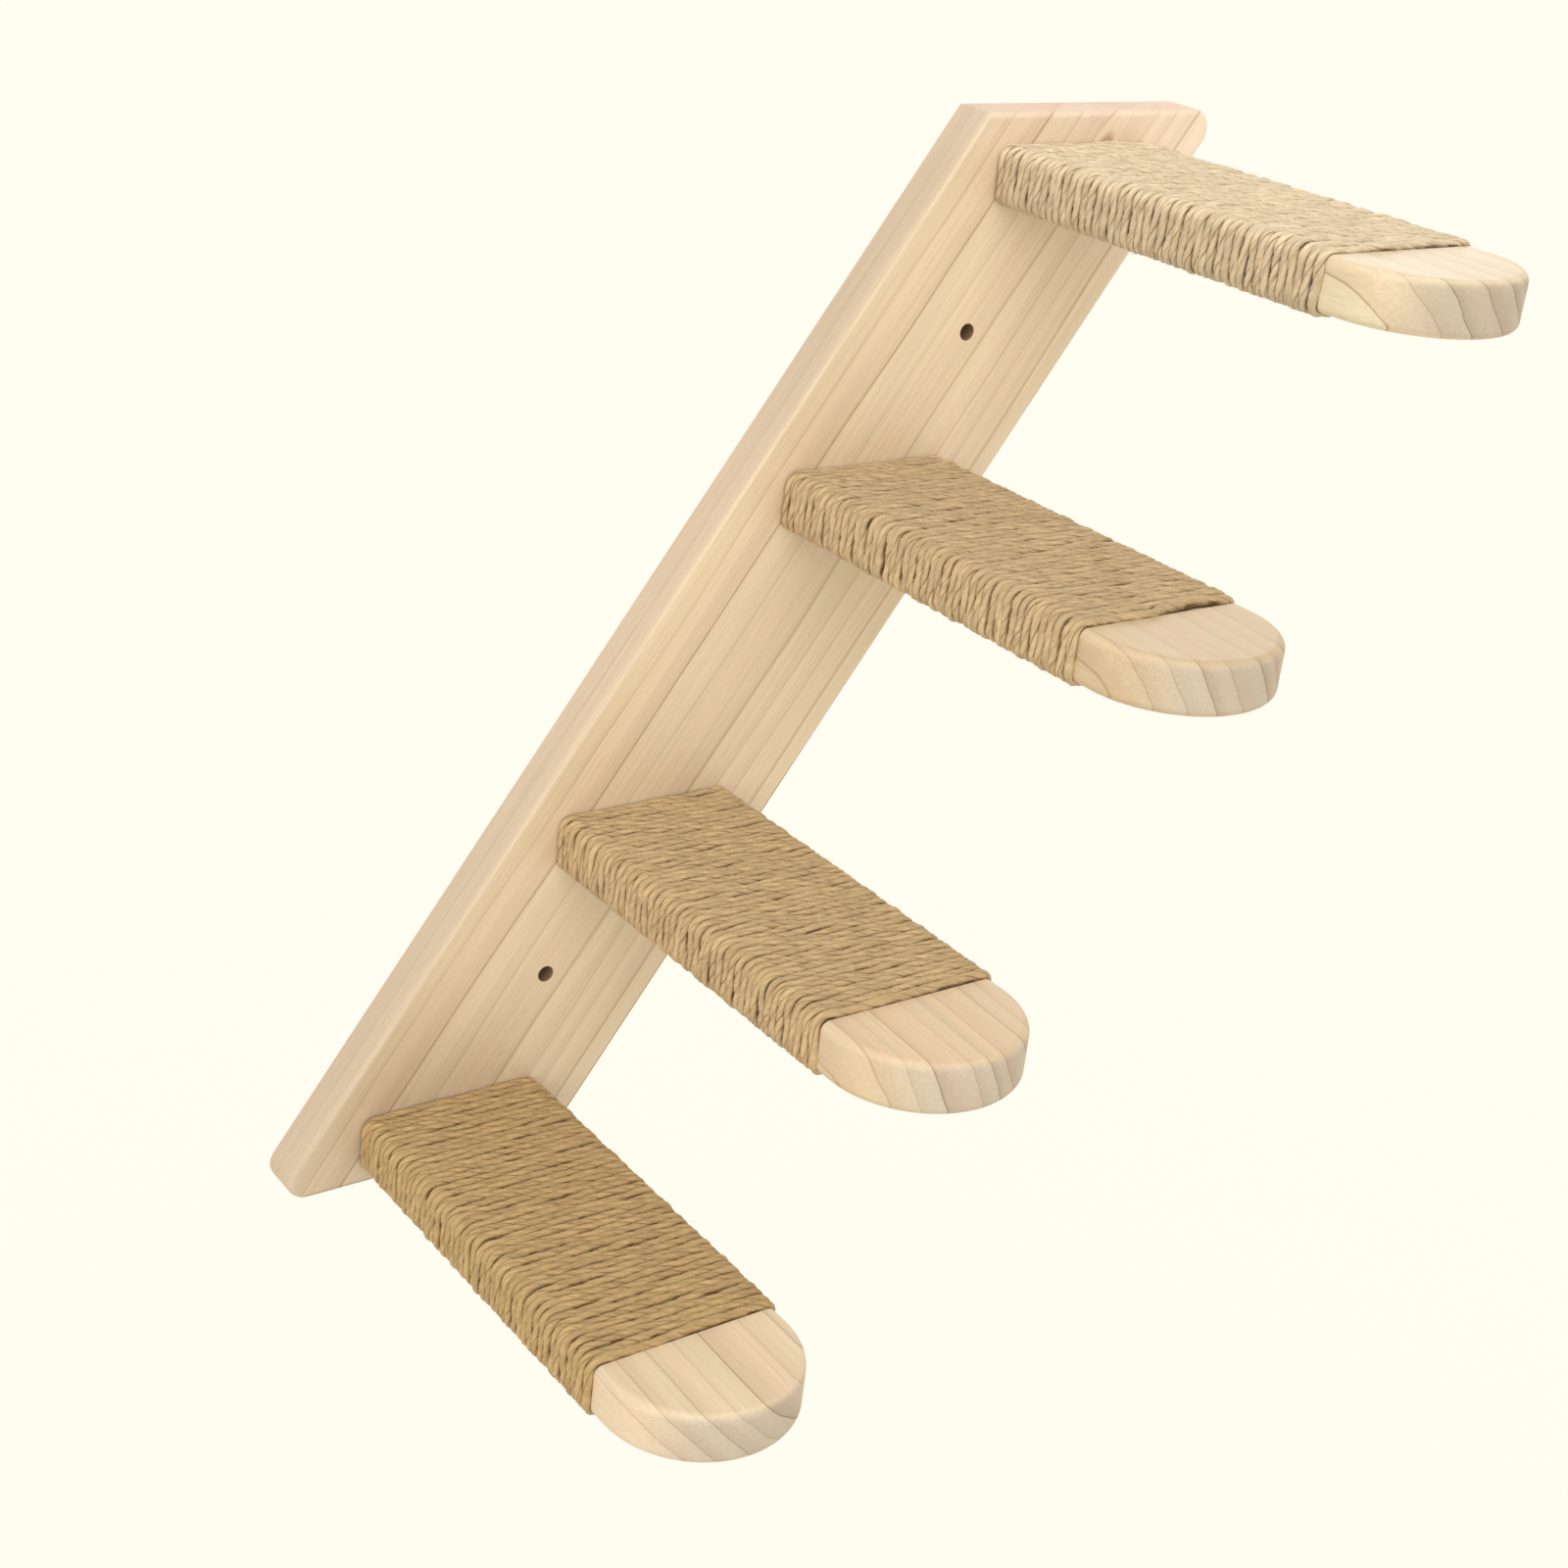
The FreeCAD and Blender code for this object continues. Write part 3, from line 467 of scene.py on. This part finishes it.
def rope_arrays(along, line, outward, by_nose, rng):
    """Rows of section points along the cord with their heights, quads, end caps and UVs.

    The section is a circle, squared a little towards its neighbours, with a cusped groove between strands
    that turns once in each lay as it goes along. Height is 1 at the crown and -1 on the wood, and a little
    more on the free side by the nose; it steers where the painted shade in the gaps falls. U is the
    distance along the cord in metres. V goes once around, fixed to the strands.
    """
    points_around = ROPE_STRANDS * ROPE_POINTS_PER_STRAND
    share = np.arange(points_around) / points_around
    dip = 1 - np.abs(np.sin(math.pi * ROPE_STRANDS * share))
    size = 1 - ROPE_GROOVE * dip
    thickness = ROPE_RADIUS * (1 + slow_wander(rng, along, ROPE_SWELL_WAVE, ROPE_SWELL))
    twist = 2 * math.pi * along / ROPE_LAY + slow_wander(rng, along, ROPE_TWIST_WAVE, ROPE_TWIST)
    angle = 2 * math.pi * share[None, :] + twist[:, None]
    squared = np.abs(np.cos(angle)) ** ROPE_SQUARENESS + np.abs(np.sin(angle)) ** ROPE_SQUARENESS
    reach = thickness[:, None] * size[None, :] * squared ** (-1 / ROPE_SQUARENESS)
    sideways = np.array([0.0, -1.0, 0.0])
    ring = outward[:, None, :] * np.cos(angle)[..., None] + sideways * np.sin(angle)[..., None]
    points = (line[:, None, :] + ring * reach[..., None]).reshape(-1, 3)
    height = np.cos(angle) + ROPE_FREE_SIDE * by_nose[:, None] * (np.sin(angle) > 0)
    rows = len(along)
    first = np.arange(rows - 1)[:, None] * points_around
    here = np.arange(points_around)[None, :]
    after = (here + 1) % points_around
    second = first + points_around
    quads = np.stack([first + here, first + after, second + after, second + here], axis=-1)
    last = (rows - 1) * points_around
    caps = np.stack([np.arange(points_around)[::-1], last + np.arange(points_around)])
    u = np.broadcast_to(along[:-1, None], (rows - 1, points_around))
    u_next = np.broadcast_to(along[1:, None], (rows - 1, points_around))
    v = np.broadcast_to(share[None, :], (rows - 1, points_around))
    v_next = v + 1 / points_around
    quad_uv = np.stack([
        np.stack([u, v], axis=-1),
        np.stack([u, v_next], axis=-1),
        np.stack([u_next, v_next], axis=-1),
        np.stack([u_next, v], axis=-1),
    ], axis=-2)
    cap_uv = np.zeros((2, points_around, 2))
    return points, height.ravel(), quads.reshape(-1, 4), caps, quad_uv.reshape(-1, 2), cap_uv.reshape(-1, 2)


def fray_arrays(line, outward, rng):
    """Loose fibres that stand off the cord: thin three-sided tubes on a bent line that tapers to its tip.

    A fibre starts on the cord's outer half, leaves along it, and lifts off by the square of the way it
    has gone.
    """
    spot = rng.integers(ROPE_FRAY_ENDS, len(line) - ROPE_FRAY_ENDS, ROPE_FRAY_COUNT)
    forward = line[spot + 1] - line[spot]
    forward /= np.linalg.norm(forward, axis=1)[:, None]
    sideways = np.array([0.0, -1.0, 0.0])
    lean = rng.uniform(-ROPE_FRAY_LEAN, ROPE_FRAY_LEAN, ROPE_FRAY_COUNT)
    off = outward[spot] * np.cos(lean)[:, None] + sideways * np.sin(lean)[:, None]
    cross = np.cross(forward, off)
    length = rng.uniform(*ROPE_FRAY_LENGTH, ROPE_FRAY_COUNT)
    lift = rng.uniform(*ROPE_FRAY_LIFT, ROPE_FRAY_COUNT)
    swerve = rng.uniform(-ROPE_FRAY_SWERVE, ROPE_FRAY_SWERVE, ROPE_FRAY_COUNT)
    way = np.linspace(0.0, 1.0, ROPE_FRAY_POINTS)
    spine = (line[spot] + off * ROPE_RADIUS * 0.9)[:, None, :]
    spine = spine + forward[:, None, :] * (length[:, None] * way)[..., None]
    spine = spine + off[:, None, :] * ((length * lift)[:, None] * way ** 2)[..., None]
    spine = spine + cross[:, None, :] * ((length * swerve)[:, None] * way ** 2)[..., None]
    width = ROPE_FRAY_WIDTH * (1 - 0.7 * way)
    angle = 2 * math.pi * np.arange(ROPE_FRAY_SIDES) / ROPE_FRAY_SIDES
    ring = off[:, None, :] * np.cos(angle)[None, :, None]
    ring = ring + cross[:, None, :] * np.sin(angle)[None, :, None]
    points = spine[:, :, None, :] + ring[:, None, :, :] * width[None, :, None, None]
    root = np.arange(ROPE_FRAY_COUNT)[:, None] * ROPE_FRAY_POINTS * ROPE_FRAY_SIDES
    tip = root + (ROPE_FRAY_POINTS - 1) * ROPE_FRAY_SIDES
    first = root[..., None] + np.arange(ROPE_FRAY_POINTS - 1)[None, :, None] * ROPE_FRAY_SIDES
    second = first + ROPE_FRAY_SIDES
    here = np.arange(ROPE_FRAY_SIDES)[None, None, :]
    after = (here + 1) % ROPE_FRAY_SIDES
    quads = np.stack([first + here, first + after, second + after, second + here], axis=-1)
    ends = np.concatenate([root + np.array([[2, 1, 0]]), tip + np.array([[0, 1, 2]])])
    along_cord = rng.uniform(0.0, 9.0, ROPE_FRAY_COUNT)
    strand_crown = np.full(ROPE_FRAY_COUNT, 0.5 / ROPE_STRANDS)
    shade = np.stack([along_cord, strand_crown], axis=1)
    quad_uv = np.repeat(shade, (ROPE_FRAY_POINTS - 1) * ROPE_FRAY_SIDES * 4, axis=0)
    end_uv = np.concatenate([np.repeat(shade, ROPE_FRAY_SIDES, axis=0)] * 2)
    return points.reshape(-1, 3), quads.reshape(-1, 4), ends, quad_uv, end_uv


def jute(name, colours, painted_top_light, sheen):
    """Twisted jute: fibre streaks along the strands, slow patches along the cord, and a soft sheen.

    The grooves between the strands and the gaps between the turns take painted shade: dark colours that
    noise along the cord leaves out in places. Faces that look up take painted light: a tint for each
    winding that makes the tops lighter or darker.
    """
    material, tree, surface = new_material(name)
    middle, dark, light = colours
    uv = shader_node(tree, "UVMap", uv_map="cord").outputs[0]
    fibre = noise(tree, uv, ROPE_FIBRE_WAVES, (0.3, 0.8, 0.0), 3.0)
    hair = noise(tree, uv, ROPE_HAIR_WAVES, (2.3, 1.8, 0.0), 1.0)
    patch = noise(tree, uv, ROPE_PATCH_WAVES, (1.3, 5.8, 0.0), 2.0)
    colour = blend(tree, ease(tree, fibre, 0.30, 0.56, 0.85, 0.0), middle, dark)
    colour = blend(tree, ease(tree, fibre, 0.52, 0.75, 0.0, 0.8), colour, light)
    colour = blend(tree, ease(tree, hair, 0.60, 0.75, 0.0, 0.45), colour, dark)
    colour = blend(tree, 1.0, colour, ease(tree, patch, 0.3, 0.7, *ROPE_PATCH), "MULTIPLY")
    # Painted shade in the grooves between the strands, which noise breaks up in places.
    around = shader_node(tree, "SeparateXYZ", {0: uv}).outputs[1]
    across = calc(tree, "PINGPONG", calc(tree, "MULTIPLY", around, float(ROPE_STRANDS)), 0.5)
    groove = ease(tree, across, 0.14, 0.0)
    broken = noise(tree, uv, ROPE_GROOVE_WAVES, (6.1, 0.0, 0.0))
    groove = calc(tree, "MULTIPLY", groove, ease(tree, broken, 0.40, 0.60, *ROPE_GROOVE_SHARE))
    colour = blend(tree, groove, colour, ROPE_GROOVE_SHADE_COLOUR)
    # Painted shade in the gaps between turns, where the section turns towards the wood; noise leaves it out
    # in places.
    height = shader_node(tree, "Attribute", attribute_name="height").outputs["Fac"]
    gap = ease(tree, height, 0.72, 0.25)
    closed = noise(tree, uv, ROPE_GAP_WAVES, (2.1, 4.0, 0.0))
    gap = calc(tree, "MULTIPLY", gap, ease(tree, closed, 0.42, 0.60, *ROPE_GAP_SHARE))
    colour = blend(tree, gap, colour, ROPE_GAP_SHADE_COLOUR)
    # Painted light: faces that look up take the winding's top tint.
    normal = shader_node(tree, "NewGeometry").outputs["Normal"]
    facing_up = vector_calc(tree, "DOT_PRODUCT", normal, (0.0, 0.0, 1.0))
    colour = blend(tree, ease(tree, facing_up, -0.10, 0.60), colour, painted_top_light, "MULTIPLY")
    tree.links.new(colour, surface.inputs["Base Color"])
    tree.links.new(ease(tree, fibre, 0.3, 0.7, *ROPE_ROUGHNESS), surface.inputs["Roughness"])
    relief = calc(tree, "MULTIPLY_ADD", hair, 0.5, fibre)
    bump = shader_node(tree, "Bump", {"Height": relief, "Strength": 0.7, "Distance": ROPE_RELIEF})
    tree.links.new(bump.outputs[0], surface.inputs["Normal"])
    surface.inputs["Specular IOR Level"].default_value = ROPE_SPECULAR
    surface.inputs["Sheen Weight"].default_value = sheen
    surface.inputs["Sheen Roughness"].default_value = ROPE_SHEEN_ROUGHNESS
    surface.inputs["Sheen Tint"].default_value = ROPE_SHEEN_COLOUR
    return material


for tread in TREADS:
    rng = np.random.default_rng(ROPE_SEED + int(tread))
    low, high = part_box(f"tread_{tread}_rope")
    centre = (low + high) / 2
    half = (high - low) / 2
    root_y = high.y + ROPE_FIT
    nose_y = low.y - ROPE_FIT
    wound = rope_line(centre, half.x, half.z, root_y, nose_y, ROPE_TUCK[tread], rng)
    _, line, outward, _ = wound
    cord_points, cord_heights, cord_quads, cord_caps, cord_uv, cap_uv = rope_arrays(*wound, rng)
    fray_points, fray_quads, fray_ends, fray_uv, fray_end_uv = fray_arrays(line, outward, rng)
    moved = len(cord_points)
    rope = mesh_piece(
        f"tread_{tread}_wound_cord",
        np.concatenate([cord_points, fray_points]),
        np.concatenate([cord_heights, np.ones(len(fray_points))]),
        [cord_quads, cord_caps, fray_quads + moved, fray_ends + moved],
        [cord_uv, cap_uv, fray_uv, fray_end_uv],
        jute(f"tread_{tread}_jute", ROPE_COLOURS[tread], ROPE_PAINTED_TOP_LIGHT[tread], ROPE_SHEEN[tread]),
    )
    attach(rope, "root")
    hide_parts(f"tread_{tread}_rope")


# Screws and staples
# Zinc-plated steel: two countersunk screws through the board into each tread's root, and two wire staples
# over the rope's ends. The plating is thin, a little blue-grey, with brushed marks and dull spots.

ZINC_BRIGHT = (0.640, 0.655, 0.670, 1.0)
ZINC_DULL = (0.400, 0.415, 0.430, 1.0)
ZINC_CLOUD_WAVES = (180.0, 180.0, 180.0)
ZINC_MARK_WAVES = (2600.0, 300.0, 2600.0)


def zinc(name):
    """Plated steel: fine draw marks, and cloudy patches where the plating has dulled."""
    material, tree, surface = new_material(name)
    place = shader_node(tree, "TexCoord").outputs["Object"]
    cloud = noise(tree, place, ZINC_CLOUD_WAVES, (0.5, 0.2, 0.9), 3.0)
    marks = noise(tree, place, ZINC_MARK_WAVES, (1.5, 2.2, 0.4), 2.0)
    colour = blend(tree, ease(tree, cloud, 0.35, 0.7), ZINC_BRIGHT, ZINC_DULL)
    tree.links.new(colour, surface.inputs["Base Color"])
    tree.links.new(calc(tree, "MULTIPLY_ADD", cloud, 0.35, 0.18), surface.inputs["Roughness"])
    bump = shader_node(tree, "Bump", {"Height": marks, "Strength": 0.2, "Distance": 0.0001})
    tree.links.new(bump.outputs[0], surface.inputs["Normal"])
    surface.inputs["Metallic"].default_value = 1.0
    return material


zinc_finish = zinc("fastener_zinc")
for tread in TREADS:
    dress(f"tread_{tread}_screws", zinc_finish)
    dress(f"tread_{tread}_rope_staples", zinc_finish)


# Dowels
# Two plain beech pins in each joint between board and tread, glued into drilled holes and hidden there.
# Beech is pale and pinkish, with short dark flecks along its grain.

BEECH_PALE = (0.610, 0.430, 0.270, 1.0)
BEECH_FLECK = (0.380, 0.225, 0.120, 1.0)
BEECH_FLECK_WAVES = (1500.0, 220.0, 1500.0)
BEECH_TONE_WAVES = (120.0, 25.0, 120.0)


def beech(name):
    """Turned beech along Y: short flecks stretched with the grain over slow changes of tone."""
    material, tree, surface = new_material(name)
    place = shader_node(tree, "TexCoord").outputs["Object"]
    fleck = noise(tree, place, BEECH_FLECK_WAVES, (0.7, 3.1, 0.2), 2.0)
    tone = noise(tree, place, BEECH_TONE_WAVES, (2.7, 1.1, 4.2), 2.0)
    colour = blend(tree, ease(tree, fleck, 0.58, 0.74, 0.0, 0.7), BEECH_PALE, BEECH_FLECK)
    colour = blend(tree, 1.0, colour, ease(tree, tone, 0.3, 0.7, 0.92, 1.05), "MULTIPLY")
    tree.links.new(colour, surface.inputs["Base Color"])
    tree.links.new(calc(tree, "MULTIPLY_ADD", fleck, 0.2, 0.5), surface.inputs["Roughness"])
    bump = shader_node(tree, "Bump", {"Height": fleck, "Strength": 0.3, "Distance": 0.0001})
    tree.links.new(bump.outputs[0], surface.inputs["Normal"])
    return material


beech_finish = beech("dowel_beech")
for tread in TREADS:
    dress(f"tread_{tread}_dowels", beech_finish)


# Studio
# A wide ivory floor well below the hanging steps, an even ivory surround, a broad soft light from the upper
# left front and a low one from behind. The camera stands left, looks down on the steps and is tipped.

FLOOR_HEIGHT = -1.6
FLOOR_HALF = 60.0
FLOOR_COLOUR = (0.810, 0.802, 0.736, 1.0)
FLOOR_ROUGHNESS = 0.9
SURROUND_COLOUR = (1.0, 0.985, 0.945, 1.0)
SURROUND_STRENGTH = 0.88
LIGHTS = {
    "soft_light": ((-0.70, -0.68, 0.79), 1.70, math.radians(75.0)),
    "back_light": ((0.62, 0.79, 0.18), 0.38, math.radians(30.0)),
}
CAMERA_PLACE = (-0.672673, -0.911278, 0.427609)
CAMERA_HEADING = math.radians(37.9600)
CAMERA_DIP = math.radians(24.1337)
CAMERA_ROLL = math.radians(6.4948)
CAMERA_LENS = 57.745
CAMERA_SENSOR = 36.0

floor_mesh = bpy.data.meshes.new("floor")
floor_corners = [(-1, -1), (1, -1), (1, 1), (-1, 1)]
floor_points = [(x * FLOOR_HALF, y * FLOOR_HALF, FLOOR_HEIGHT) for x, y in floor_corners]
floor_mesh.from_pydata(floor_points, [], [(0, 1, 2, 3)])
floor = bpy.data.objects.new("floor", floor_mesh)
bpy.context.scene.collection.objects.link(floor)
floor_material, _, floor_surface = new_material("floor_ivory")
floor_surface.inputs["Base Color"].default_value = FLOOR_COLOUR
floor_surface.inputs["Roughness"].default_value = FLOOR_ROUGHNESS
floor_surface.inputs["Specular IOR Level"].default_value = 0.0
floor_mesh.materials.append(floor_material)

world = bpy.data.worlds.new("surround")
world.use_nodes = True
surround = world.node_tree.nodes["Background"]
surround.inputs["Color"].default_value = SURROUND_COLOUR
surround.inputs["Strength"].default_value = SURROUND_STRENGTH
bpy.context.scene.world = world

for name, (shines_from, strength, spread) in LIGHTS.items():
    lamp = bpy.data.lights.new(name, "SUN")
    lamp.energy = strength
    lamp.angle = spread
    light = bpy.data.objects.new(name, lamp)
    light.rotation_mode = "QUATERNION"
    light.rotation_quaternion = Vector(shines_from).to_track_quat("Z", "Y")
    bpy.context.scene.collection.objects.link(light)

lens = bpy.data.cameras.new("camera")
lens.lens = CAMERA_LENS
lens.sensor_width = CAMERA_SENSOR
camera = bpy.data.objects.new("camera", lens)
level = Euler((math.pi / 2 - CAMERA_DIP, 0.0, -CAMERA_HEADING)).to_matrix()
tipped = level @ Matrix.Rotation(CAMERA_ROLL, 3, "Z")
camera.matrix_world = Matrix.Translation(CAMERA_PLACE) @ tipped.to_4x4()
bpy.context.scene.collection.objects.link(camera)
bpy.context.scene.camera = camera
bpy.context.scene.view_settings.view_transform = "Standard"
